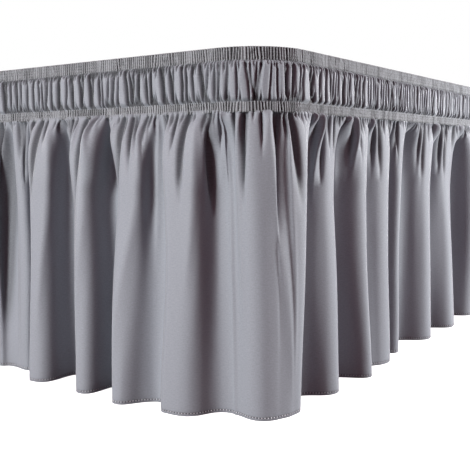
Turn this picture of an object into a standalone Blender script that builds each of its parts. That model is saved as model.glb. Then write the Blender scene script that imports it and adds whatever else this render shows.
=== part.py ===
"""Wrap-around elastic bed skirt.

A ring of gathered cloth that grips the sides of a bed base. From the top down it has a shirred
elastic, a short gathered ruffle, a second shirred elastic, and a long drop that falls in loose
folds to its hem. Metres, +Z up, the hem at z = 0, the foot of the bed towards -Y.
"""
import math
import random
from collections import namedtuple

import bmesh
import bpy
from mathutils import Vector

# Size of the ring, at the elastics' outer face
RING_WIDTH = 0.990
RING_LENGTH = 1.910
CORNER_RADIUS = 0.075
CORNER_STEPS = 8

# Heights, from the hem up
TOTAL_HEIGHT = 0.457
UPPER_ELASTIC_HEIGHT = 0.016
RUFFLE_HEIGHT = 0.048
LOWER_ELASTIC_HEIGHT = 0.013
SEAT_GAP = 0.0003

# Thickness of a sheet, how far off a plane its four-sided faces may be, and the relief of its
# small gathers
CLOTH = 0.002
FLATNESS = 0.000001
RUFFLE_GATHERS = 420
RUFFLE_RELIEF = 0.0025
RUFFLE_UNEVENNESS = 0.3
TOP_GATHER_RELIEF = 0.0012

# The drop's rows, as shares of the way from the lower elastic to the hem
SHOULDER = 0.08
WAIST = 0.18
MIDWAY = 0.30
DROP_ROWS = (0.0, SHOULDER, WAIST, MIDWAY, 1.0)
COLUMNS_PER_SLOPE = 4

# How the folds come out of the gathers. They start with a share of their depth, and the valleys
# sink faster than the crests rise. A valley is a narrow slot near the elastic and opens lower down.
SHARE_AT_ELASTIC = 0.10
CREST_HASTE = 3
VALLEY_HASTE = 6
SLOT_PINCH = 2.4
SLOT_REACH = 0.10

# Midway down the cloth turns back steeply after each crest, and less so before it. These are
# shares of a square turn, and the last is the share of them that shows at the elastic.
STEEP_AFTER_CREST = 0.90
STEEP_BEFORE_CREST = 0.20
STEEP_AT_ELASTIC = 0.3
MIDDLE_TURN = 0.5

# One row for each fold. Places run round the ring, counterclockwise from above, from the middle of
# the corner between the foot and the right side. Outs are how far the cloth hangs outside the
# elastic's face, midway down and at the hem. The turn is where between its crest and its valley
# the cloth goes in, as a share of the way, and square is how steep that turn is at the hem.
Fold = namedtuple("Fold", "crest crest_mid crest_hem valley valley_mid valley_hem turn square")
NAMED_FOLDS = (
    # foot, up to the corner
    Fold(-0.486, 0.012, 0.016, -0.452, -0.014, 0.006, 0.50, 0.60),
    Fold(-0.426, 0.004, 0.008, -0.404, -0.012, -0.005, 0.50, 0.60),
    Fold(-0.374, 0.025, 0.040, -0.330, -0.018, -0.026, 0.63, 0.90),
    Fold(-0.275, 0.026, 0.040, -0.242, -0.016, -0.020, 0.58, 0.90),
    Fold(-0.203, 0.024, 0.045, -0.149, -0.006, 0.006, 0.56, 0.00),
    Fold(-0.120, 0.024, 0.034, -0.052, -0.016, -0.011, 0.65, 0.35),
    # the corner's broad lobe
    Fold(0.002, 0.009, 0.011, 0.026, 0.006, 0.009, 0.50, 0.30),
    Fold(0.042, 0.011, 0.007, 0.085, -0.030, -0.034, 0.50, 0.90),
    # right side
    Fold(0.144, -0.002, 0.011, 0.186, -0.034, -0.036, 0.45, 0.90),
    Fold(0.236, 0.005, 0.018, 0.262, -0.026, -0.014, 0.45, 0.90),
    Fold(0.322, 0.002, 0.010, 0.354, -0.028, -0.026, 0.45, 0.90),
    Fold(0.380, 0.000, -0.001, 0.408, -0.030, -0.034, 0.50, 0.90),
    Fold(0.426, -0.028, -0.033, 0.446, -0.034, -0.038, 0.50, 0.90),
    Fold(0.504, 0.001, 0.011, 0.556, -0.034, -0.036, 0.45, 0.90),
    Fold(0.615, -0.001, 0.014, 0.690, -0.034, -0.036, 0.45, 0.90),
)

# The other folds are as uneven as these, in the same range of widths and depths
MEAN_FOLD_WIDTH = 0.094
NARROWEST, WIDEST = 0.80, 1.25
SHALLOWEST, DEEPEST = 0.042, 0.050
SIDE_MIDDLE = -0.011
END_MIDDLE = 0.019
MID_DEPTH_SHARE = 0.80
MID_MIDDLE_SHARE = 0.35
CORNER_REACH = 0.14
CORNER_SHARE = 0.35
EARLIEST_TURN, LATEST_TURN = 0.40, 0.70
LEAST_SQUARE, MOST_SQUARE = 0.50, 0.90
FOLD_SEED = 5

# Colours
CLOTH_GREY = (0.38, 0.38, 0.42)
ELASTIC_GREY = (0.25, 0.26, 0.26)

# Lengths that follow from the sizes above
SIDE_RUN = RING_LENGTH - 2.0 * CORNER_RADIUS
END_RUN = RING_WIDTH - 2.0 * CORNER_RADIUS
ARC_RUN = 0.5 * math.pi * CORNER_RADIUS
HALF_RING = SIDE_RUN + END_RUN + 2.0 * ARC_RUN
FULL_RING = 2.0 * HALF_RING
UPPER_ELASTIC_BOTTOM = TOTAL_HEIGHT - UPPER_ELASTIC_HEIGHT
LOWER_ELASTIC_TOP = UPPER_ELASTIC_BOTTOM - RUFFLE_HEIGHT
DROP_HEIGHT = LOWER_ELASTIC_TOP - LOWER_ELASTIC_HEIGHT


def ring_point(place, out):
    """Point at a place round the ring, moved out of the elastic's face."""
    turned = math.floor((place + 0.5 * ARC_RUN) / HALF_RING)
    run = (place + 0.5 * ARC_RUN) - turned * HALF_RING
    half_x = 0.5 * END_RUN
    half_y = 0.5 * SIDE_RUN
    reach = CORNER_RADIUS + out
    if run < ARC_RUN:
        angle = run / CORNER_RADIUS - 0.5 * math.pi
        x = half_x + reach * math.cos(angle)
        y = -half_y + reach * math.sin(angle)
    elif run < ARC_RUN + SIDE_RUN:
        x = half_x + reach
        y = -half_y + (run - ARC_RUN)
    elif run < 2.0 * ARC_RUN + SIDE_RUN:
        angle = (run - ARC_RUN - SIDE_RUN) / CORNER_RADIUS
        x = half_x + reach * math.cos(angle)
        y = half_y + reach * math.sin(angle)
    else:
        x = half_x - (run - 2.0 * ARC_RUN - SIDE_RUN)
        y = half_y + reach
    sign = -1.0 if turned % 2 else 1.0
    return Vector((sign * x, sign * y, 0.0))


def corner_nearness(place):
    """1 at the middle of a corner, 0 where its reach ends."""
    head_corner = ARC_RUN + SIDE_RUN
    distance = abs(place - head_corner)
    return max(0.0, 1.0 - distance / CORNER_REACH)


def more_folds(start, end):
    """Uneven folds from a valley at start to a crest at end."""
    chance = random.Random(FOLD_SEED)
    count = round((end - start) / MEAN_FOLD_WIDTH)
    widths = [chance.uniform(NARROWEST, WIDEST) for _ in range(count)]
    unit = (end - start) / (sum(widths) + 0.5)
    folds = []
    valley = start
    for width in widths:
        crest = valley + unit * width * chance.uniform(0.45, 0.55)
        valley = valley + unit * width
        on_end = crest > ARC_RUN + SIDE_RUN
        middle = END_MIDDLE if on_end else SIDE_MIDDLE
        depth = chance.uniform(SHALLOWEST, DEEPEST)
        depth *= 1.0 - (1.0 - CORNER_SHARE) * corner_nearness(crest)
        mid_middle = MID_MIDDLE_SHARE * middle
        mid_depth = MID_DEPTH_SHARE * depth
        folds.append(Fold(
            crest, mid_middle + 0.5 * mid_depth, middle + 0.5 * depth,
            valley, mid_middle - 0.5 * mid_depth, middle - 0.5 * depth,
            chance.uniform(EARLIEST_TURN, LATEST_TURN), chance.uniform(LEAST_SQUARE, MOST_SQUARE)))
    return folds


def drop_out(mid, hem, share):
    """How far a crest or valley hangs out, at a share of the way down."""
    haste = CREST_HASTE if mid > 0.0 else VALLEY_HASTE
    grown = 1.0 - max(0.0, 1.0 - share / MIDWAY) ** haste
    past = max(0.0, (share - MIDWAY) / (1.0 - MIDWAY))
    return mid * (SHARE_AT_ELASTIC + (1.0 - SHARE_AT_ELASTIC) * grown) + (hem - mid) * past


def steepness(after_crest, square, share):
    """How steeply a slope turns back at a share of the way down: 0 eases, 1 is a square turn."""
    full = STEEP_AFTER_CREST if after_crest else STEEP_BEFORE_CREST
    grown = 1.0 - max(0.0, 1.0 - share / MIDWAY) ** CREST_HASTE
    past = max(0.0, (share - MIDWAY) / (1.0 - MIDWAY))
    return full * (STEEP_AT_ELASTIC + (1.0 - STEEP_AT_ELASTIC) * grown) + (square - full) * past


def fold_line(knots, share):
    """Outer line of the drop at one height, with the same columns on every slope."""
    points = []
    for index, (place, mid, hem, turn, square) in enumerate(knots):
        next_place, next_mid, next_hem = knots[(index + 1) % len(knots)][:3]
        if next_place < place:
            next_place += FULL_RING
        gap = next_place - place
        out = drop_out(mid, hem, share)
        next_out = drop_out(next_mid, next_hem, share)
        after_crest = index % 2 == 0
        pinch = math.log(0.5) / math.log(turn) + SLOT_PINCH * math.exp(-share / SLOT_REACH)
        # Rate at which the pinched slope passes its own middle
        middle_rate = pinch * 0.5 ** ((pinch - 1.0) / pinch)
        steep = steepness(after_crest, square, share)
        side_shift = gap * steep / (2.0 * math.pi * middle_rate)
        for column in range(COLUMNS_PER_SLOPE):
            along = column / COLUMNS_PER_SLOPE
            turned = along ** pinch if after_crest else 1.0 - (1.0 - along) ** pinch
            eased = 0.5 - 0.5 * math.cos(math.pi * turned)
            gather = TOP_GATHER_RELIEF * (-1.0) ** column if share == 0.0 else 0.0
            point = ring_point(
                place + gap * along + side_shift * math.sin(2.0 * math.pi * turned),
                out + (next_out - out) * eased + gather)
            point.z = (DROP_HEIGHT - SEAT_GAP) * (1.0 - share)
            points.append(point)
    return points


def drop_lines():
    """Fold lines of the drop, from the elastic down. The ring's second half repeats the first."""
    first = NAMED_FOLDS[0].crest
    last = NAMED_FOLDS[-1].valley
    folds = list(NAMED_FOLDS) + more_folds(last, first + HALF_RING)
    knots = []
    for shift in (0.0, HALF_RING):
        for fold in folds:
            knots.append((
                fold.crest + shift, fold.crest_mid, fold.crest_hem, fold.turn, fold.square))
            knots.append((
                fold.valley + shift, fold.valley_mid, fold.valley_hem,
                MIDDLE_TURN, STEEP_BEFORE_CREST))
    return [fold_line(knots, share) for share in DROP_ROWS]


def ruffle_lines():
    """Zigzag of small uneven gathers, the same from elastic to elastic."""
    chance = random.Random(FOLD_SEED)
    half_columns = RUFFLE_GATHERS
    outs = []
    for column in range(half_columns):
        uneven = chance.uniform(1.0 - RUFFLE_UNEVENNESS, 1.0 + RUFFLE_UNEVENNESS)
        outs.append(0.5 * CLOTH + RUFFLE_RELIEF * uneven * (-1.0) ** column)
    lines = []
    for z in (UPPER_ELASTIC_BOTTOM - SEAT_GAP, LOWER_ELASTIC_TOP + SEAT_GAP):
        line = []
        for column in range(2 * half_columns):
            place = FULL_RING * column / (2 * half_columns)
            point = ring_point(place, outs[column % half_columns])
            point.z = z
            line.append(point)
        lines.append(line)
    return lines


def plain_lines(top, bottom):
    """Smooth ring: one long face on each straight, and steps round each corner."""
    places = []
    for corner_start, run in (
            (-0.5 * ARC_RUN, SIDE_RUN),
            (0.5 * ARC_RUN + SIDE_RUN, END_RUN),
            (-0.5 * ARC_RUN + HALF_RING, SIDE_RUN),
            (0.5 * ARC_RUN + SIDE_RUN + HALF_RING, END_RUN)):
        places += [corner_start + ARC_RUN * step / CORNER_STEPS for step in range(CORNER_STEPS + 1)]
    lines = []
    for z in (top, bottom):
        line = [ring_point(place, 0.0) for place in places]
        for point in line:
            point.z = z
        lines.append(line)
    return lines


def plan_normals(line):
    """Unit normals in plan, pointing out of the ring."""
    normals = []
    for index, point in enumerate(line):
        before = line[index - 1]
        after = line[(index + 1) % len(line)]
        normals.append(Vector((after.y - before.y, before.x - after.x, 0.0)).normalized())
    return normals


def off_plane(first, second, third, fourth):
    """How far the fourth point lies from the plane of the other three."""
    normal = (second - first).cross(third - first).normalized()
    return abs(normal.dot(fourth - first))


def ring_sheet(name, lines, material):
    """Closed ring of cloth: an outer skin on the lines, and an inner skin one thickness behind."""
    bm = bmesh.new()
    outer = []
    inner = []
    for line in lines:
        outer.append([bm.verts.new(point) for point in line])
        normals = plan_normals(line)
        inner.append([bm.verts.new(point - CLOTH * normal) for point, normal in zip(line, normals)])
    columns = len(lines[0])
    for index in range(columns):
        after = (index + 1) % columns
        for row in range(len(lines) - 1):
            upper, lower = lines[row], lines[row + 1]
            flat = off_plane(upper[index], lower[index], upper[after], lower[after]) < FLATNESS
            falls = (upper[index] - lower[after]).length < (upper[after] - lower[index]).length
            # Both skins split along the same diagonal, so that the cloth keeps its thickness
            for skin in (outer, inner):
                high, low = skin[row], skin[row + 1]
                if flat:
                    bm.faces.new((high[index], low[index], low[after], high[after]))
                elif falls:
                    bm.faces.new((high[index], low[index], low[after]))
                    bm.faces.new((high[index], low[after], high[after]))
                else:
                    bm.faces.new((high[index], low[index], high[after]))
                    bm.faces.new((high[after], low[index], low[after]))
        for row in (0, -1):
            outside, inside = outer[row], inner[row]
            bm.faces.new((outside[index], inside[index], inside[after], outside[after]))
    bmesh.ops.recalc_face_normals(bm, faces=bm.faces)
    mesh = bpy.data.meshes.new(name)
    bm.to_mesh(mesh)
    bm.free()
    mesh.shade_smooth()
    mesh.set_sharp_from_angle(angle=math.radians(60.0))
    mesh.materials.append(material)
    sheet = bpy.data.objects.new(name, mesh)
    bpy.context.scene.collection.objects.link(sheet)
    return sheet


def plain_material(name, colour, roughness):
    """Non-metallic surface of one colour."""
    material = bpy.data.materials.new(name)
    material.use_nodes = True
    surface = material.node_tree.nodes["Principled BSDF"]
    surface.inputs["Base Color"].default_value = (*colour, 1.0)
    surface.inputs["Roughness"].default_value = roughness
    surface.inputs["Metallic"].default_value = 0.0
    return material


for old in list(bpy.data.objects):
    bpy.data.objects.remove(old, do_unlink=True)

ring_sheet(
    "upper_elastic",
    plain_lines(TOTAL_HEIGHT, UPPER_ELASTIC_BOTTOM),
    plain_material("upper_elastic_grey", ELASTIC_GREY, 0.80))
ring_sheet(
    "heading_ruffle",
    ruffle_lines(),
    plain_material("ruffle_grey", CLOTH_GREY, 0.55))
ring_sheet(
    "lower_elastic",
    plain_lines(LOWER_ELASTIC_TOP, DROP_HEIGHT),
    plain_material("lower_elastic_grey", ELASTIC_GREY, 0.80))
ring_sheet(
    "skirt_drop",
    drop_lines(),
    plain_material("drop_grey", CLOTH_GREY, 0.55))
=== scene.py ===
"""Looks of the wrap-around bed skirt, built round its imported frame. Metres, +Z up."""
import math
import random
from collections import namedtuple

import bpy
import numpy as np
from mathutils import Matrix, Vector


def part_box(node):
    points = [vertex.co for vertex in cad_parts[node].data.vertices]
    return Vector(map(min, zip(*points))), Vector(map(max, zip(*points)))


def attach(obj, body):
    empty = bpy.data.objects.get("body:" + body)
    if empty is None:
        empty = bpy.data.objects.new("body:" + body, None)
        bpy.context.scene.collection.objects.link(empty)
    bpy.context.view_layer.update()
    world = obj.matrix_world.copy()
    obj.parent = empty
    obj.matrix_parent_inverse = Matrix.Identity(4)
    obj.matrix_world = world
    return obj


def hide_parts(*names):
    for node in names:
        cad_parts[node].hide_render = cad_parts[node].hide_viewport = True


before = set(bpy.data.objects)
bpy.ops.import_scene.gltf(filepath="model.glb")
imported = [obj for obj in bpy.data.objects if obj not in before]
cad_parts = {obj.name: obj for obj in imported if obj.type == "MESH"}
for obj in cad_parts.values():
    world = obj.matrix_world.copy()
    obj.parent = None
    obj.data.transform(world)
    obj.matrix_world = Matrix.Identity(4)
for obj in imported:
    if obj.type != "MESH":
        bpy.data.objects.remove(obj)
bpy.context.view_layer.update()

# Skirt drop
# One long piece of brushed microfibre, gathered onto the lower elastic. Its small gathers run
# together into loose folds that swing out a little on the way to a narrow stitched hem.

drop_low, drop_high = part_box("skirt_drop")
ring_low, ring_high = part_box("upper_elastic")
drop_height = drop_high.z - drop_low.z
corner_radius = 0.075
side_run = ring_high.y - ring_low.y - 2.0 * corner_radius
end_run = ring_high.x - ring_low.x - 2.0 * corner_radius
arc_run = 0.5 * math.pi * corner_radius
half_ring = side_run + end_run + 2.0 * arc_run
full_ring = 2.0 * half_ring


def ring_xy(place, out):
    """Plan position at places round the ring, moved out of the elastic's face.

    Places run counterclockwise from above, from the middle of the foot's right corner.
    """
    turned = np.floor((place + 0.5 * arc_run) / half_ring)
    run = place + 0.5 * arc_run - turned * half_ring
    reach = corner_radius + out
    half_x = 0.5 * end_run
    half_y = 0.5 * side_run
    stretches = [run < arc_run, run < arc_run + side_run, run < 2.0 * arc_run + side_run]
    near_angle = run / corner_radius - 0.5 * math.pi
    far_angle = (run - arc_run - side_run) / corner_radius
    x = np.select(
        stretches,
        [half_x + reach * np.cos(near_angle), half_x + reach, half_x + reach * np.cos(far_angle)],
        half_x - (run - 2.0 * arc_run - side_run))
    y = np.select(
        stretches,
        [-half_y + reach * np.sin(near_angle), -half_y + run - arc_run,
         half_y + reach * np.sin(far_angle)],
        half_y + reach)
    sign = np.where(turned % 2 == 1, -1.0, 1.0)
    return sign * x, sign * y


# One row for each fold of the corner that shows: places round the ring, and how far the cloth
# hangs outside the elastic's face midway down and at the hem. The turn is where between its crest
# and its valley the cloth goes in, as a share of the way. Square is how square it is at the hem.
Fold = namedtuple("Fold", "crest crest_mid crest_hem valley valley_mid valley_hem turn square")
named_folds = (
    # foot, up to the corner
    Fold(-0.486, 0.012, 0.016, -0.452, -0.014, 0.006, 0.50, 0.60),
    Fold(-0.426, 0.004, 0.008, -0.404, -0.012, -0.005, 0.50, 0.60),
    Fold(-0.374, 0.025, 0.040, -0.330, -0.018, -0.026, 0.63, 0.90),
    Fold(-0.275, 0.026, 0.040, -0.242, -0.016, -0.020, 0.58, 0.90),
    Fold(-0.203, 0.024, 0.045, -0.149, -0.006, 0.006, 0.56, 0.00),
    Fold(-0.120, 0.024, 0.034, -0.052, -0.016, -0.011, 0.65, 0.35),
    # the corner's broad lobe
    Fold(0.002, 0.009, 0.011, 0.026, 0.006, 0.009, 0.50, 0.30),
    Fold(0.042, 0.011, 0.007, 0.085, -0.030, -0.034, 0.50, 0.90),
    # right side
    Fold(0.144, -0.002, 0.011, 0.186, -0.034, -0.036, 0.45, 0.90),
    Fold(0.236, 0.005, 0.018, 0.262, -0.026, -0.014, 0.45, 0.90),
    Fold(0.322, 0.002, 0.010, 0.354, -0.028, -0.026, 0.45, 0.90),
    Fold(0.380, 0.000, -0.001, 0.408, -0.030, -0.034, 0.50, 0.90),
    Fold(0.426, -0.028, -0.033, 0.446, -0.034, -0.038, 0.50, 0.90),
    Fold(0.504, 0.001, 0.011, 0.556, -0.034, -0.036, 0.45, 0.90),
    Fold(0.615, -0.001, 0.014, 0.690, -0.034, -0.036, 0.45, 0.90),
)


def more_folds(start, end):
    """Uneven folds of the same kind, from a valley at start to a crest at end."""
    chance = random.Random(5)
    mean_width = 0.094
    # Folds near a corner are shallower, and those past the head's corner hang further out
    side_middle, head_middle = -0.011, 0.019
    corner_reach, corner_flattening = 0.14, 0.65
    midway_middle, midway_depth = 0.35, 0.80
    count = round((end - start) / mean_width)
    widths = [chance.uniform(0.80, 1.25) for _ in range(count)]
    unit = (end - start) / (sum(widths) + 0.5)
    head_corner = arc_run + side_run
    folds = []
    valley = start
    for width in widths:
        crest = valley + unit * width * chance.uniform(0.45, 0.55)
        valley = valley + unit * width
        middle = head_middle if crest > head_corner else side_middle
        depth = chance.uniform(0.042, 0.050)
        nearness = max(0.0, 1.0 - abs(crest - head_corner) / corner_reach)
        depth *= 1.0 - corner_flattening * nearness
        mid_middle = midway_middle * middle
        mid_depth = midway_depth * depth
        folds.append(Fold(
            crest, mid_middle + 0.5 * mid_depth, middle + 0.5 * depth,
            valley, mid_middle - 0.5 * mid_depth, middle - 0.5 * depth,
            chance.uniform(0.40, 0.70), chance.uniform(0.50, 0.90)))
    return folds


first_crest = named_folds[0].crest
folds = list(named_folds) + more_folds(named_folds[-1].valley, first_crest + half_ring)
knots = []
for shift in (0.0, half_ring):
    for fold in folds:
        knots.append((fold.crest + shift, fold.crest_mid, fold.crest_hem, fold.turn, fold.square))
        knots.append((fold.valley + shift, fold.valley_mid, fold.valley_hem, 0.5, 0.2))
knots.append((first_crest + full_ring, folds[0].crest_mid, folds[0].crest_hem, 0.5, 0.5))
knot_table = np.array(knots)

# How the folds grow, by shares of the way down: they have a tenth of their midway depth at the
# elastic, and the valleys sink sooner than the crests rise
midway = 0.30
start_depth = 0.10
crest_haste, valley_haste = 3, 6
# Two terms that narrow the valleys, each with the share of the way down over which it fades
slot_pinch, slot_reach = 2.4, 0.10
top_pinch, top_reach = 7.0, 0.028
# The elastic leaves the valleys' tops only this share of their depth, and lets go further down
held_depth, held_reach = 0.15, 0.055
# How steeply the cloth turns back after each crest and before it, and how much of that it has
# at the elastic
steep_after, steep_before, steep_start = 0.90, 0.20, 0.3


def folded(place, share):
    """Where the folds carry each place of the elastic: one row for each share of the way down."""
    index = np.clip(np.searchsorted(knot_table[:, 0], place, side="right") - 1, 0, len(knots) - 2)
    here, there = knot_table[index], knot_table[index + 1]
    gap = there[:, 0] - here[:, 0]
    along = (place - here[:, 0]) / gap
    after_crest = index % 2 == 0
    share = share[:, None]
    left = 1.0 - np.clip(share / midway, 0.0, 1.0)
    grown = 1.0 - left ** crest_haste
    sunk = 1.0 - left ** valley_haste
    past = np.clip((share - midway) / (1.0 - midway), 0.0, 1.0)
    levels = []
    for knot in (here, there):
        mid, hem = knot[:, 1], knot[:, 2]
        come = np.where(mid > 0.0, grown, sunk)
        levels.append(mid * (start_depth + (1.0 - start_depth) * come) + (hem - mid) * past)
    pinch = np.log(0.5) / np.log(here[:, 3]) + slot_pinch * np.exp(-share / slot_reach)
    pinch = pinch + top_pinch * np.exp(-share / top_reach)
    warped = np.where(after_crest, along ** pinch, 1.0 - (1.0 - along) ** pinch)
    out = levels[0] + (levels[1] - levels[0]) * (0.5 - 0.5 * np.cos(math.pi * warped))
    out = np.where(out < 0.0, out * np.clip(held_depth + share / held_reach, 0.0, 1.0), out)
    mid_steep = np.where(after_crest, steep_after, steep_before)
    steep = mid_steep * (steep_start + (1.0 - steep_start) * grown)
    steep = steep + (here[:, 4] - mid_steep) * past
    flank_rate = pinch * 0.5 ** ((pinch - 1.0) / pinch)
    moved = gap * steep / flank_rate * np.sin(2.0 * math.pi * warped) / (2.0 * math.pi)
    return place + moved, out


# Creases: the place where each starts and ends, the shares of the way down between which it
# shows, its half width, its height, below zero for a trough, and how far it bows sideways
Crease = namedtuple(
    "Crease", "start_place end_place start end half_width height bow", defaults=(0.0,))
named_creases = (
    # troughs on the foot, from the left
    Crease(-0.466, -0.470, 0.00, 0.30, 0.0026, -0.0070),
    Crease(-0.444, -0.440, 0.00, 0.24, 0.0022, -0.0070),
    Crease(-0.414, -0.418, 0.00, 0.26, 0.0024, -0.0080),
    Crease(-0.392, -0.394, 0.00, 0.26, 0.0024, -0.0085),
    Crease(-0.373, -0.380, 0.00, 0.30, 0.0030, -0.0085),
    Crease(-0.361, -0.360, 0.00, 0.09, 0.0015, -0.0060),
    Crease(-0.322, -0.319, 0.00, 0.08, 0.0015, -0.0060),
    Crease(-0.309, -0.307, 0.00, 0.25, 0.0022, -0.0090),
    Crease(-0.277, -0.289, 0.00, 0.33, 0.0030, -0.0090),
    Crease(-0.256, -0.262, 0.00, 0.11, 0.0015, -0.0060),
    Crease(-0.211, -0.218, 0.00, 0.42, 0.0030, -0.0095),
    Crease(-0.195, -0.193, 0.00, 0.18, 0.0019, -0.0080),
    Crease(-0.170, -0.178, 0.00, 0.12, 0.0015, -0.0060),
    Crease(-0.137, -0.143, 0.00, 0.30, 0.0025, -0.0095),
    Crease(-0.120, -0.118, 0.00, 0.12, 0.0015, -0.0065),
    Crease(-0.103, -0.106, 0.00, 0.28, 0.0025, -0.0090),
    Crease(-0.070, -0.064, 0.00, 0.34, 0.0030, -0.0095),
    # troughs on the corner
    Crease(-0.056, -0.058, 0.00, 0.12, 0.0015, -0.0070),
    Crease(-0.037, -0.038, 0.00, 0.15, 0.0015, -0.0070),
    Crease(-0.024, -0.023, 0.00, 0.30, 0.0023, -0.0090),
    Crease(-0.003, -0.000, 0.00, 0.11, 0.0014, -0.0065),
    Crease(0.014, 0.020, 0.00, 0.42, 0.0030, -0.0075),
    Crease(0.028, 0.029, 0.00, 0.10, 0.0014, -0.0060),
    Crease(0.037, 0.045, 0.00, 0.30, 0.0030, -0.0085),
    # troughs on the right side
    Crease(0.100, 0.108, 0.00, 0.16, 0.0024, -0.0065),
    Crease(0.121, 0.123, 0.00, 0.24, 0.0030, -0.0075),
    Crease(0.136, 0.138, 0.00, 0.12, 0.0018, -0.0060),
    Crease(0.203, 0.210, 0.00, 0.18, 0.0028, -0.0070),
    Crease(0.222, 0.226, 0.00, 0.14, 0.0022, -0.0065),
    Crease(0.280, 0.289, 0.00, 0.18, 0.0030, -0.0070),
    Crease(0.297, 0.304, 0.00, 0.22, 0.0032, -0.0070),
    Crease(0.366, 0.366, 0.00, 0.14, 0.0026, -0.0060),
    Crease(0.470, 0.478, 0.00, 0.20, 0.0028, -0.0060),
    Crease(0.488, 0.486, 0.00, 0.26, 0.0032, -0.0070),
    Crease(0.540, 0.545, 0.00, 0.20, 0.0045, 0.0080),
    Crease(0.580, 0.590, 0.00, 0.22, 0.0032, -0.0070),
    Crease(0.602, 0.603, 0.00, 0.26, 0.0032, -0.0065),
    Crease(0.672, 0.676, 0.00, 0.22, 0.0060, 0.0090),
    # ridges that run far down
    Crease(-0.178, -0.212, 0.05, 1.00, 0.0045, 0.0030),
    Crease(-0.030, -0.028, 0.02, 0.75, 0.0032, 0.0034),
    Crease(0.006, 0.036, 0.00, 0.95, 0.0042, 0.0040),
    Crease(-0.350, -0.366, 0.04, 0.80, 0.0036, 0.0032),
    Crease(-0.262, -0.284, 0.04, 0.85, 0.0036, 0.0032),
    Crease(-0.085, -0.100, 0.04, 0.60, 0.0036, 0.0028),
    Crease(-0.052, -0.050, 0.06, 0.55, 0.0014, 0.0020),
    Crease(-0.262, -0.258, 0.00, 0.26, 0.0075, 0.0125),
    Crease(-0.470, -0.464, 0.02, 0.85, 0.0075, -0.0110),
    Crease(-0.054, -0.056, 0.00, 0.24, 0.0045, 0.0070),
    Crease(0.092, 0.101, 0.00, 0.30, 0.0040, 0.0090),
    Crease(0.110, 0.113, 0.00, 0.26, 0.0035, 0.0080),
    Crease(0.190, 0.198, 0.00, 0.28, 0.0045, 0.0090),
    Crease(0.213, 0.214, 0.00, 0.18, 0.0030, 0.0050),
    Crease(0.272, 0.274, 0.00, 0.20, 0.0035, 0.0060),
    Crease(-0.294, -0.306, 0.03, 0.55, 0.0022, 0.0030),
    Crease(-0.392, -0.402, 0.03, 0.50, 0.0022, 0.0028),
    Crease(-0.225, -0.240, 0.03, 0.60, 0.0020, 0.0028),
    Crease(-0.152, -0.158, 0.03, 0.50, 0.0020, 0.0028),
    Crease(0.030, 0.040, 0.02, 0.90, 0.0022, 0.0026),
    Crease(-0.048, -0.040, 0.10, 1.60, 0.0022, 0.0024),
)


# Kinds of small gather: the draw up to which each comes, and the spans of its length as a share
# of the drop, its depth and its half width
gather_kinds = (
    (0.55, (0.035, 0.070), (0.0036, 0.0050), (0.0009, 0.0013)),
    (0.85, (0.08, 0.16), (0.0056, 0.0072), (0.0013, 0.0020)),
    (1.00, (0.20, 0.34), (0.0070, 0.0090), (0.0022, 0.0032)),
)


def gathers():
    """Small gathers under the elastic, and the pleats into which some of them run on."""
    chance = random.Random(11)
    shorter, shallower, named_room = 0.5, 0.8, 0.0042
    rows = []
    place = first_crest
    while place < first_crest + full_ring:
        pick = chance.random()
        spans = next(kind[1:] for kind in gather_kinds if pick < kind[0])
        length, height, width = [chance.uniform(*span) for span in spans]
        drift = chance.uniform(-0.03, 0.03) * length
        near_named = min(abs(place - row.start_place) for row in named_creases)
        # The corner that shows has its own creases, with small gathers only between them
        named_stretch = first_crest < place < folds[len(named_folds)].crest
        if named_stretch:
            length, height = shorter * length, shallower * height
        if near_named > named_room or not named_stretch:
            rows.append(Crease(place, place + drift, 0.0, length, width, -height))
        place += chance.uniform(0.0052, 0.0094)
    return rows


def crease_out(
        place, share, creases, rise_share=0.016, fade_share=0.70, end_width=0.9, widest=0.5):
    """Height of all the creases, added up.

    Each rises over the rise share, fades over the fade share of its own length, and is end_width
    of its half width at its ends and half as wide again in between.
    """
    middle_width = 1.5
    tail = 4.0
    total = np.zeros((len(share), len(place)))
    around = np.concatenate([place - full_ring, place, place + full_ring])
    for crease in creases:
        length = crease.end - crease.start
        travel = np.clip((share - crease.start) / length, 0.0, 1.0)
        centre = crease.start_place + (crease.end_place - crease.start_place) * travel
        centre = centre + crease.bow * np.sin(math.pi * travel)
        risen = (share - crease.start) / min(rise_share, 0.4 * length)
        rise = np.clip(0.6 + 0.4 * risen, 0.0, 1.0)
        fade = np.clip((crease.end - share) / (fade_share * length), 0.0, 1.0)
        strength = crease.height * rise * rise * (3.0 - 2.0 * rise) * fade * (2.0 - fade)
        swell = np.sin(math.pi * travel ** widest)
        width = crease.half_width * (end_width + (middle_width - end_width) * swell)
        reach = tail * width.max()
        first, last = np.searchsorted(around, (centre.min() - reach, centre.max() + reach))
        columns = np.arange(first, last)
        away = around[None, first:last] - centre[:, None]
        shape = 1.0 / np.cosh(away / width[:, None]) ** 2
        np.add.at(total, (slice(None), columns % len(place)), strength[:, None] * shape)
    return total


def pushed_out(x, y, height):
    """Plan lines moved along their own outward normals."""
    run_x = np.roll(x, -1, axis=1) - np.roll(x, 1, axis=1)
    run_y = np.roll(y, -1, axis=1) - np.roll(y, 1, axis=1)
    size = np.maximum(np.hypot(run_x, run_y), 1e-9)
    return x + height * run_y / size, y - height * run_x / size


def uneven(place, spacing, seed):
    """Smooth chance values from -1 to 1 that change about once in each spacing."""
    count = max(3, round(full_ring / spacing))
    values = np.random.RandomState(seed).uniform(-1.0, 1.0, count)
    position = (place / full_ring % 1.0) * count
    index = np.floor(position).astype(int)
    eased = 0.5 - 0.5 * np.cos(math.pi * (position - index))
    return values[index % count] * (1.0 - eased) + values[(index + 1) % count] * eased


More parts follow.
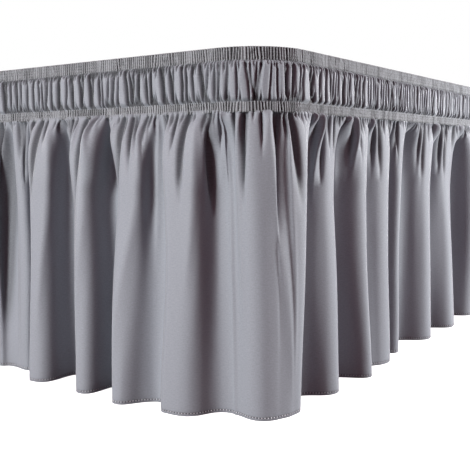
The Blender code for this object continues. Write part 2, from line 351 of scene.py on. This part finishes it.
def grid_faces(rows, columns, first=0):
    """Quads of a closed ring of rows and columns, facing out."""
    grid = first + np.arange(rows * columns).reshape(rows, columns)
    after = np.roll(grid, -1, axis=1)
    quads = np.stack([grid[:-1], grid[1:], after[1:], after[:-1]], axis=-1)
    return quads.reshape(-1, 4).tolist()


def cloth_piece(name, points, faces, cloth_u, cloth_v, painted_shade, material):
    """Smooth sheet with a UV map in metres of cloth, and the painted shade of each point in its
    gathers.
    """
    mesh = bpy.data.meshes.new(name)
    mesh.from_pydata(points.tolist(), [], faces)
    corner_vertex = np.zeros(len(mesh.loops), np.int32)
    mesh.loops.foreach_get("vertex_index", corner_vertex)
    face_start = np.zeros(len(mesh.polygons), np.int32)
    mesh.polygons.foreach_get("loop_start", face_start)
    u = cloth_u[corner_vertex]
    face_size = np.diff(np.append(face_start, len(u)))
    highest = np.repeat(np.maximum.reduceat(u, face_start), face_size)
    round_length = cloth_u.max()
    u = np.where(highest - u > 0.5 * round_length, u + round_length, u)
    uv_layer = mesh.uv_layers.new(name="cloth")
    uv_layer.data.foreach_set("uv", np.stack([u, cloth_v[corner_vertex]], axis=-1).ravel())
    # Painted shade, stored on each point, for how deep it lies in a gather
    painted_shade_amount = mesh.attributes.new("painted_shade_amount", "FLOAT", "POINT")
    painted_shade_amount.data.foreach_set("value", np.clip(painted_shade, 0.0, 1.0))
    mesh.shade_smooth()
    mesh.materials.append(material)
    piece = bpy.data.objects.new(name, mesh)
    bpy.context.scene.collection.objects.link(piece)
    return piece


def run_length(x, y):
    """Length run along a closed line up to each point."""
    steps = np.hypot(np.roll(x, -1) - x, np.roll(y, -1) - y)
    return np.concatenate([[0.0], np.cumsum(steps)[:-1]])


def weave_group():
    """Fine plain weave with a soft brushed unevenness, and painted shade in the gathers: its
    colour share and bump height.
    """
    group = bpy.data.node_groups.new("woven_cloth", "ShaderNodeTree")
    for socket, kind, default in (
            ("Thread Pitch", "NodeSocketFloat", 0.0006), ("Mottle", "NodeSocketFloat", 0.03),
            ("Gather Shade", "NodeSocketFloat", 0.4)):
        made = group.interface.new_socket(socket, in_out="INPUT", socket_type=kind)
        made.default_value = default
    group.interface.new_socket("Tone", in_out="OUTPUT", socket_type="NodeSocketFloat")
    group.interface.new_socket("Height", in_out="OUTPUT", socket_type="NodeSocketFloat")
    nodes, links = group.nodes, group.links
    inputs = nodes.new("NodeGroupInput")
    outputs = nodes.new("NodeGroupOutput")
    place = nodes.new("ShaderNodeTexCoord")
    split = nodes.new("ShaderNodeSeparateXYZ")
    links.new(place.outputs["UV"], split.inputs[0])

    def maths(operation, first, second=None):
        node = nodes.new("ShaderNodeMath")
        node.operation = operation
        for socket, value in zip(node.inputs, (first, second)):
            if value is None:
                continue
            if isinstance(value, float):
                socket.default_value = value
            else:
                links.new(value, socket)
        return node.outputs[0]

    turns = maths("DIVIDE", 2.0 * math.pi, inputs.outputs["Thread Pitch"])
    warp = maths("SINE", maths("MULTIPLY", split.outputs["X"], turns))
    weft = maths("SINE", maths("MULTIPLY", split.outputs["Y"], turns))
    links.new(maths("MULTIPLY", warp, weft), outputs.inputs["Height"])
    mottle = nodes.new("ShaderNodeTexNoise")
    mottle.inputs["Scale"].default_value = 500.0
    mottle.inputs["Detail"].default_value = 3.0
    links.new(place.outputs["UV"], mottle.inputs["Vector"])
    stretch = nodes.new("ShaderNodeMapping")
    stretch.inputs["Scale"].default_value = (160.0, 1700.0, 1.0)
    links.new(place.outputs["UV"], stretch.inputs["Vector"])
    slub = nodes.new("ShaderNodeTexNoise")
    slub.inputs["Scale"].default_value = 1.0
    slub.inputs["Detail"].default_value = 2.0
    links.new(stretch.outputs["Vector"], slub.inputs["Vector"])
    patches = maths("ADD", mottle.outputs["Fac"], slub.outputs["Fac"])
    centred = maths("SUBTRACT", patches, 1.0)
    tone = maths("ADD", maths("MULTIPLY", centred, inputs.outputs["Mottle"]), 1.0)
    # Painted shade: the colour darkens with how deep each point lies in a gather
    painted_shade_amount = nodes.new("ShaderNodeAttribute")
    painted_shade_amount.attribute_name = "painted_shade_amount"
    shade = maths("MULTIPLY", painted_shade_amount.outputs["Fac"], inputs.outputs["Gather Shade"])
    links.new(maths("SUBTRACT", tone, shade), outputs.inputs["Tone"])
    return group


woven = weave_group()


def cloth_material(name, colour, roughness, sheen, thread_pitch, mottle, gather_shade):
    """Dyed cloth: weave bump, slight mottle, painted shade in the gathers, and a soft sheen at its
    edges.
    """
    material = bpy.data.materials.new(name)
    material.use_nodes = True
    nodes, links = material.node_tree.nodes, material.node_tree.links
    surface = nodes["Principled BSDF"]
    surface.inputs["Roughness"].default_value = roughness
    surface.inputs["Sheen Weight"].default_value = sheen
    surface.inputs["Sheen Roughness"].default_value = 0.32
    surface.inputs["Specular IOR Level"].default_value = 0.22
    weave = nodes.new("ShaderNodeGroup")
    weave.node_tree = woven
    weave.inputs["Thread Pitch"].default_value = thread_pitch
    weave.inputs["Mottle"].default_value = mottle
    weave.inputs["Gather Shade"].default_value = gather_shade
    tint = nodes.new("ShaderNodeVectorMath")
    tint.operation = "SCALE"
    tint.inputs[0].default_value = colour
    links.new(weave.outputs["Tone"], tint.inputs["Scale"])
    links.new(tint.outputs[0], surface.inputs["Base Color"])
    bump = nodes.new("ShaderNodeBump")
    bump.inputs["Strength"].default_value = 0.35
    bump.inputs["Distance"].default_value = 0.00006
    links.new(weave.outputs["Height"], bump.inputs["Height"])
    links.new(bump.outputs["Normal"], surface.inputs["Normal"])
    return material


skirt_cloth = cloth_material(
    "skirt_microfibre", colour=(0.236, 0.256, 0.284), roughness=0.60, sheen=0.40,
    thread_pitch=0.0006, mottle=0.36, gather_shade=0.80)

# The columns stand closer together on the corner with the finest gathers
near_columns, far_columns = 1648, 2400
near_run = 1.236
fine_columns = near_columns + far_columns
# The first row lies behind the elastic, and the cloth hangs from its lower edge
tuck_in = 0.0026
stitch_line, stitch_band = 0.0040, 0.0009
hem_fold = 0.005
fine_rows = np.array([-4.0, 0.0, 1.5, 3.5, 6.5, 10.5, 16, 24, 34, 45, 58, 75]) * 0.001
coarse_rows = np.linspace(0.094, 0.366, 16)
hem_rows = drop_height - np.array([8.0, 6.0, 5.0, 4.0, 3.0, 1.2]) * 0.001
depth_rows = np.concatenate([fine_rows, coarse_rows, hem_rows])
share_rows = np.maximum(depth_rows, 0.0) / drop_height
place_columns = first_crest + np.concatenate([
    near_run * np.arange(near_columns) / near_columns,
    near_run + (full_ring - near_run) * np.arange(far_columns) / far_columns])

fold_place, fold_out = folded(place_columns, share_rows)
# The folds wander a little sideways on the way down
sideways = 0.0030
for turns, seed in ((1.3, 71), (0.8, 72)):
    swing = sideways * np.sin(2.0 * math.pi * turns * share_rows)[:, None]
    fold_place = fold_place + swing * uneven(place_columns, 0.05, seed)[None, :]
fold_x, fold_y = ring_xy(fold_place, fold_out)
crease_height = crease_out(place_columns, share_rows, named_creases)
crease_height += crease_out(place_columns, share_rows, gathers())
near_stitches = np.exp(-((drop_height - depth_rows - stitch_line) / stitch_band) ** 2)
stitch_pinch = 0.0005 * near_stitches
crease_height -= stitch_pinch[:, None]
# Soft unevenness of hanging cloth, which drifts slowly on the way down
slow_share = share_rows[:, None]
for spacing, seed, swing in ((0.009, 81, 0.0003), (0.016, 51, 0.0008), (0.034, 61, 0.0012)):
    for row_seed in range(3):
        nearness = np.clip(1.0 - 2.0 * np.abs(slow_share - 0.5 * row_seed), 0.0, 1.0)
        waves = uneven(place_columns, spacing, seed + row_seed)
        crease_height += swing * nearness * waves[None, :]
crease_height[0] = -tuck_in
row_x, row_y = pushed_out(fold_x, fold_y, crease_height)
# Painted shade darkens the troughs by their depth, and the cloth that the stitches pull in
shade_from, shade_span, shade_most = 0.0010, 0.0050, 0.60
drop_painted_shade = np.clip((-shade_from - crease_height) / shade_span, 0.0, shade_most)
drop_painted_shade += 0.9 * near_stitches[:, None]

coarse = slice(0, None, 2)
drop_points = []
for row, depth in enumerate(depth_rows):
    columns = slice(None) if row < len(fine_rows) else coarse
    x, y = row_x[row, columns], row_y[row, columns]
    drop_points.append(np.stack([x, y, np.full(len(x), drop_high.z - depth)], axis=-1))
# The hem's cloth turns under and runs up again on the inside: heights, and how far in
hem_turn = ((0.0004, 0.0004), (0.0004, 0.0012), (hem_fold, 0.0014))
for z, back in hem_turn:
    x, y = pushed_out(row_x[-1:, coarse], row_y[-1:, coarse], -back)
    drop_points.append(np.stack([x[0], y[0], np.full(x.shape[1], drop_low.z + z)], axis=-1))
coarse_columns = fine_columns // 2
coarse_row_count = len(depth_rows) - len(fine_rows) + len(hem_turn)
fine_count = len(fine_rows) * fine_columns
drop_faces = grid_faces(len(fine_rows), fine_columns)
drop_faces += grid_faces(coarse_row_count, coarse_columns, fine_count)
# Between the two grids, two fine columns meet each coarse one
upper = (len(fine_rows) - 1) * fine_columns
for column in range(coarse_columns):
    u0 = upper + 2 * column
    u1 = u0 + 1
    u2 = upper + (2 * column + 2) % fine_columns
    l0 = fine_count + column
    l1 = fine_count + (column + 1) % coarse_columns
    drop_faces += [(u0, l0, u1), (u1, l0, l1), (u1, l1, u2)]
middle_row = len(depth_rows) // 2
cloth_run = run_length(row_x[middle_row], row_y[middle_row])
# Painted shade for each row of the drop, none on the turned hem
painted_shade = [
    drop_painted_shade[:len(fine_rows)].ravel(), drop_painted_shade[len(fine_rows):, coarse].ravel(),
    np.zeros(len(hem_turn) * coarse_columns)]
drop_u = np.concatenate(
    [np.tile(cloth_run, len(fine_rows)), np.tile(cloth_run[coarse], coarse_row_count)])
drop_points = np.concatenate(drop_points)
drop_cloth = cloth_piece(
    "skirt_drop_cloth", drop_points, drop_faces, drop_u, drop_points[:, 2],
    np.concatenate(painted_shade), skirt_cloth)
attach(drop_cloth, "root")
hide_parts("skirt_drop")

# Hem stitches
# One line of lockstitch in a paler thread holds the turned hem, four millimetres above its edge.
# Each stitch is a short rounded bead of thread, pulled a little into the cloth.

stitch_pitch, stitch_length, stitch_radius = 0.0040, 0.0019, 0.00068
stitch_row = int(np.argmin(np.abs(drop_height - depth_rows - stitch_line)))
seam_x, seam_y = row_x[stitch_row], row_y[stitch_row]
seam_run = run_length(seam_x, seam_y)
seam_length = seam_run[-1] + math.hypot(seam_x[0] - seam_x[-1], seam_y[0] - seam_y[-1])
stitch_count = int(seam_length / stitch_pitch)
stitch_places = seam_length * (np.arange(stitch_count)[:, None] + 0.5) / stitch_count
stitch_ends = stitch_places + stitch_length * np.array([[-0.5, -0.22, 0.22, 0.5]])
closed_run = np.append(seam_run, seam_length)
stitch_x = np.interp(stitch_ends % seam_length, closed_run, np.append(seam_x, seam_x[0]))
stitch_y = np.interp(stitch_ends % seam_length, closed_run, np.append(seam_y, seam_y[0]))
run_x, run_y = stitch_x[:, 3] - stitch_x[:, 0], stitch_y[:, 3] - stitch_y[:, 0]
run_size = np.maximum(np.hypot(run_x, run_y), 1e-9)
out_x, out_y = (run_y / run_size)[:, None], (-run_x / run_size)[:, None]
stitch_z = drop_high.z - depth_rows[stitch_row]
ring_out = stitch_radius * np.array([1.0, 0.0, -1.0, 0.0]) + 0.0001
ring_up = stitch_radius * np.array([0.0, 1.0, 0.0, -1.0])
# Each bead is a point, two rings of four, and a point again
stitch_points = []
for end in range(4):
    pointed = end in (0, 3)
    swell = 0.0 if pointed else 1.0
    for out, up in zip(ring_out, ring_up):
        if pointed and out != ring_out[0]:
            continue
        stitch_points.append(np.stack([
            stitch_x[:, end] + swell * out * out_x[:, 0],
            stitch_y[:, end] + swell * out * out_y[:, 0],
            np.full(stitch_count, stitch_z) + swell * up], axis=-1))
stitch_points = np.stack(stitch_points, axis=1)
bead = [(0, 2, 1), (0, 3, 2), (0, 4, 3), (0, 1, 4)]
bead += [(9, 5, 6), (9, 6, 7), (9, 7, 8), (9, 8, 5)]
for side in range(4):
    after = (side + 1) % 4
    bead.append((1 + side, 1 + after, 5 + after, 5 + side))
bead_points = 10
stitch_faces = [
    tuple(bead_points * stitch + corner for corner in face)
    for stitch in range(stitch_count) for face in bead]
stitch_thread = cloth_material(
    "hem_thread", colour=(0.66, 0.66, 0.70), roughness=0.55, sheen=0.10,
    thread_pitch=0.0004, mottle=0.10, gather_shade=0.0)
hem_stitches = cloth_piece(
    "hem_stitches", stitch_points.reshape(-1, 3), stitch_faces,
    np.repeat(stitch_places[:, 0], bead_points),
    np.tile(np.arange(bead_points) * 0.0002, stitch_count),
    np.zeros(bead_points * stitch_count), stitch_thread)
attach(hem_stitches, "root")

# Heading ruffle
# A short stretch of the same cloth, shirred hard between the two elastics. It puffs out a little,
# and its close gathers fork and pinch together where each elastic holds them.

ruffle_low, ruffle_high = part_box("heading_ruffle")
ruffle_height = ruffle_high.z - ruffle_low.z
ruffle_columns = 6400
ruffle_place = full_ring * np.arange(ruffle_columns) / ruffle_columns
ruffle_depth = np.array([-1.5, 0, 1.2, 3.0, 5.5, 9, 15, 24, 33, 39, 42.5, 45, 46.8, 48, 49.5])
ruffle_depth = ruffle_depth * 0.001 / ruffle_height
height_share = ruffle_depth[:, None]


def ruffle_gathers():
    """Uneven slots from elastic to elastic, and short ones at both ends, where the cloth forks."""
    chance = random.Random(31)
    # The slots are wider apart along the foot
    foot_place, foot_reach, foot_spread = full_ring - 0.45, 0.40, 0.35
    fork_width, fork_depth = 0.0011, 0.95
    rows = []
    place = 0.0
    while place < full_ring - 0.005:
        lean, bow = chance.uniform(-0.008, 0.008), chance.uniform(-0.0028, 0.0028)
        along_foot = max(0.0, 1.0 - abs(place - foot_place) / foot_reach)
        pitch = chance.uniform(0.0070, 0.0102) * (1.0 + foot_spread * along_foot)
        width = pitch * chance.uniform(0.09, 0.19)
        rows.append(Crease(place, place + lean, -0.15, 1.15, width, -1.0, bow))
        for edge in (0.0, 1.0):
            forks = 2 if pitch > 0.0095 else 1
            for fork in range(forks):
                beside = place + edge * lean + pitch * (fork + 1) / (forks + 1)
                reach = chance.uniform(0.10, 0.24)
                ends = (-0.2, reach) if edge == 0.0 else (1.0 - reach, 1.2)
                rows.append(Crease(beside, beside, *ends, fork_width, -fork_depth))
        place += pitch
    return rows


inward = np.clip(7.0 * (1.0 - np.abs(2.0 * height_share - 1.0)), 0.0, 1.0)
slots = crease_out(
    ruffle_place, ruffle_depth, ruffle_gathers(),
    rise_share=0.12, fade_share=0.12, end_width=0.5, widest=1.0)
# Each corner pulls the cloth flatter
corner_reach, corner_pull = 0.07, 0.45
for corner_place in (0.0, arc_run + side_run):
    away = (ruffle_place - corner_place + 0.5 * half_ring) % half_ring - 0.5 * half_ring
    slots *= 1.0 - corner_pull * np.exp(-(away / corner_reach) ** 2)
slots = np.maximum(slots, -1.0)
# How far the cloth stands out, and how deep its slots are, at its ends and how much more inside
puff_end, puff = 0.0008, 0.0042
slot_end, slot_more = 0.0012, 0.0055
ruffle_out = puff_end + puff * np.sin(0.5 * math.pi * inward)
ruffle_out = ruffle_out + slots * (slot_end + slot_more * inward)
# Both ends run in behind the elastics
ruffle_out[[0, -1]] = -0.0010
ruffle_x, ruffle_y = ring_xy(ruffle_place[None, :], ruffle_out)
ruffle_z = np.broadcast_to(ruffle_high.z - ruffle_height * height_share, ruffle_x.shape)
ruffle_points = np.stack([ruffle_x, ruffle_y, ruffle_z], axis=-1).reshape(-1, 3)
ruffle_run = run_length(ruffle_x[len(ruffle_depth) // 2], ruffle_y[len(ruffle_depth) // 2])
# The slots get painted shade by their depth
ruffle_cloth = cloth_piece(
    "heading_ruffle_cloth", ruffle_points, grid_faces(len(ruffle_depth), ruffle_columns),
    np.tile(ruffle_run, len(ruffle_depth)), ruffle_points[:, 2],
    (-0.20 - slots.ravel()) / 0.60, skirt_cloth)
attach(ruffle_cloth, "root")
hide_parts("heading_ruffle")

# Elastics
# Two flat woven elastics sewn behind the cloth, which is shirred over them so tightly that it
# shows as fine upright ribs, pinched by rows of stitching. The upper one closes the top edge.

# Its rib troughs take strong painted shade
elastic_cloth = cloth_material(
    "shirred_elastic", colour=(0.290, 0.306, 0.324), roughness=0.80, sheen=0.05,
    thread_pitch=0.0006, mottle=0.50, gather_shade=0.95)
rib_pitch = 0.0036
rib_count = round(full_ring / rib_pitch)
elastic_columns = 4 * rib_count
elastic_place = full_ring * np.arange(elastic_columns) / elastic_columns
rib_phase = 0.5 * math.pi * np.arange(elastic_columns) + 0.5
rib_height, stitched_height, stitch_dent = 0.00125, 0.55, 0.00025


def elastic_band(name, node, stitch_rows, seed):
    """Flat shirred band: its ribbed face, its turned top edge and its plain back."""
    low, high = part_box(node)
    height = high.z - low.z
    thickness = 0.002
    # Every second row of the face is a row of stitching
    face_rows = 2 * stitch_rows + 1
    down = np.linspace(0.0, 1.0, face_rows)[:, None]
    # The ribs wander, slant and differ in height
    wander = 1.9 * uneven(elastic_place, 0.009, seed) + 2.6 * uneven(elastic_place, 0.03, seed + 1)
    slant = 3.2 * uneven(elastic_place, 0.011, seed + 2)
    ribs = np.cos(rib_phase[None, :] + wander[None, :] + slant[None, :] * (down - 0.5))
    ribs = np.tanh(1.8 * ribs) * (0.75 + 0.35 * uneven(elastic_place, 0.005, seed + 4)[None, :])
    pinch = np.where(np.arange(face_rows) % 2 == 1, stitched_height, 1.0)[:, None]
    face_out = rib_height * ribs * pinch - stitch_dent * (pinch < 1.0)
    # Painted shade in the troughs between the ribs, made darker or lighter at random in patches
    patches = 0.30 * uneven(elastic_place, 0.008, seed + 5)[None, :]
    rib_painted_shade = np.clip(0.52 + patches - 0.85 * ribs, 0.0, 1.0)
    # Both edges are finely toothed, and only downwards
    teeth = 0.0009 * ribs[0] + 0.0006 * uneven(elastic_place, 0.006, seed + 3)
    teeth = np.minimum(teeth, 0.0)
    levels = [(face_out[row], high.z - height * down[row, 0]) for row in range(face_rows)]
    # Over the top edge, and down the back
    levels.insert(0, (face_out[0] - 0.5 * thickness, high.z + 0.0002))
    levels.insert(0, (face_out[0] * 0.5 - thickness, high.z - 0.0004))
    levels.insert(0, (face_out[0] * 0.3 - thickness, low.z))
    levels[3] = (levels[3][0], levels[3][1] + teeth)
    levels[-1] = (levels[-1][0], levels[-1][1] + teeth)
    painted_shade = np.concatenate([np.zeros((3, elastic_columns)), rib_painted_shade])
    points = []
    for out, z in levels:
        x, y = ring_xy(elastic_place, out)
        points.append(np.stack([x, y, np.broadcast_to(z, x.shape)], axis=-1))
    points = np.concatenate(points)
    rows = len(levels)
    # Underneath, the face runs back to the inside
    faces = grid_faces(rows, elastic_columns)
    last = (rows - 1) * elastic_columns + np.arange(elastic_columns)
    first = np.arange(elastic_columns)
    under = np.stack([last, first, np.roll(first, -1), np.roll(last, -1)], axis=-1)
    faces += under.tolist()
    band = cloth_piece(
        name, points, faces, np.tile(elastic_place, rows), points[:, 2], painted_shade.ravel(),
        elastic_cloth)
    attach(band, "root")
    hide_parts(node)


elastic_band("upper_elastic_band", "upper_elastic", 4, 31)
elastic_band("lower_elastic_band", "lower_elastic", 3, 41)

# Floor
# A plain pale floor, wide enough to run out of every view. It glows where the camera sees it, and
# throws little light back on the skirt.

bpy.ops.object.select_all(action="DESELECT")
bpy.ops.mesh.primitive_plane_add(size=40.0, location=(0.0, 0.0, drop_low.z))
floor = bpy.context.object
floor.name = "pale_floor"
floor_paint = bpy.data.materials.new("pale_floor_paint")
floor_paint.use_nodes = True
floor_nodes, floor_links = floor_paint.node_tree.nodes, floor_paint.node_tree.links
floor_surface = floor_nodes["Principled BSDF"]
floor_surface.inputs["Roughness"].default_value = 0.9
floor_ray = floor_nodes.new("ShaderNodeLightPath")
floor_mix = floor_nodes.new("ShaderNodeMix")
floor_mix.data_type = "RGBA"
lit_colour, shown_colour = (0.08, 0.08, 0.08, 1.0), (0.92, 0.92, 0.92, 1.0)
floor_mix.inputs["A"].default_value = lit_colour
floor_mix.inputs["B"].default_value = shown_colour
floor_links.new(floor_ray.outputs["Is Camera Ray"], floor_mix.inputs["Factor"])
floor_links.new(floor_mix.outputs["Result"], floor_surface.inputs["Base Color"])
floor_surface.inputs["Emission Color"].default_value = (1.0, 1.0, 1.0, 1.0)
floor_glow = floor_nodes.new("ShaderNodeMath")
floor_glow.operation = "MULTIPLY"
floor_glow.inputs[1].default_value = 1.0
floor_links.new(floor_ray.outputs["Is Camera Ray"], floor_glow.inputs[0])
floor_links.new(floor_glow.outputs[0], floor_surface.inputs["Emission Strength"])
floor.data.materials.append(floor_paint)

# Light
# A soft box nearly in front of the foot, and one behind the foot's plane that rakes along the
# right side, leave each fold's near flank dark. Two more and a top light serve the other walls.
# A dim warm fill browns the shadows, while the camera sees a white backdrop.

world = bpy.data.worlds.new("studio")
bpy.context.scene.world = world
world.use_nodes = True
sky_nodes, sky_links = world.node_tree.nodes, world.node_tree.links
background = sky_nodes["Background"]
fill_colour, seen_colour = (0.200, 0.020, 0.045, 1.0), (1.0, 1.0, 1.0, 1.0)
ray = sky_nodes.new("ShaderNodeLightPath")
sky_mix = sky_nodes.new("ShaderNodeMix")
sky_mix.data_type = "RGBA"
sky_mix.inputs["A"].default_value = fill_colour
sky_mix.inputs["B"].default_value = seen_colour
sky_links.new(ray.outputs["Is Camera Ray"], sky_mix.inputs["Factor"])
sky_links.new(sky_mix.outputs["Result"], background.inputs["Color"])


def soft_box(name, target, direction, distance, size, power):
    """Square area light, aimed at a point from a direction."""
    data = bpy.data.lights.new(name, "AREA")
    data.shape = "SQUARE"
    data.size = size
    data.energy = power
    lamp = bpy.data.objects.new(name, data)
    towards = Vector(direction).normalized()
    lamp.location = Vector(target) + distance * towards
    lamp.rotation_euler = towards.to_track_quat("Z", "Y").to_euler()
    bpy.context.scene.collection.objects.link(lamp)


corner_x, corner_y = ring_high.x, ring_low.y
aim_z = 0.2
soft_box("foot_soft_box", target=(corner_x - 0.2, corner_y, aim_z),
         direction=(-0.28, -0.94, 0.30), distance=3.2, size=0.8, power=158.0)
soft_box("right_soft_box", target=(corner_x, corner_y + 0.3, aim_z),
         direction=(0.80, 0.57, 0.30), distance=2.6, size=0.6, power=143.0)
soft_box("left_soft_box", target=(-corner_x, 0.0, aim_z),
         direction=(-1.0, -0.2, 0.30), distance=3.2, size=1.2, power=130.0)
soft_box("head_soft_box", target=(0.0, -corner_y, aim_z),
         direction=(0.2, 1.0, 0.30), distance=3.2, size=1.2, power=130.0)
soft_box("top_soft_box", target=(0.0, 0.0, aim_z),
         direction=(0.0, 0.0, 1.0), distance=4.0, size=3.0, power=6.0)

# Camera
# It stands off the foot's right corner at seat height and looks a little down on it.

picture_side = 470
focal_pixels = 736.6
sensor = 36.0
from_corner_x, from_corner_y, seat_height = 0.4571, 0.7326, 0.331
camera_data = bpy.data.cameras.new("corner_view")
camera_data.sensor_width = sensor
camera_data.lens = focal_pixels / picture_side * sensor
camera = bpy.data.objects.new("corner_view", camera_data)
camera.location = (corner_x + from_corner_x, corner_y - from_corner_y, seat_height)
yaw, pitch, roll = math.radians(34.71), math.radians(6.34), math.radians(-0.42)
level_part = math.cos(pitch)
ahead = Vector((-math.sin(yaw) * level_part, math.cos(yaw) * level_part, -math.sin(pitch)))
camera.rotation_euler = ahead.to_track_quat("-Z", "Y").to_euler()
camera.rotation_euler.rotate_axis("Z", roll)
bpy.context.scene.collection.objects.link(camera)
bpy.context.scene.camera = camera
bpy.context.scene.view_settings.view_transform = "Standard"

bpy.context.view_layer.update()
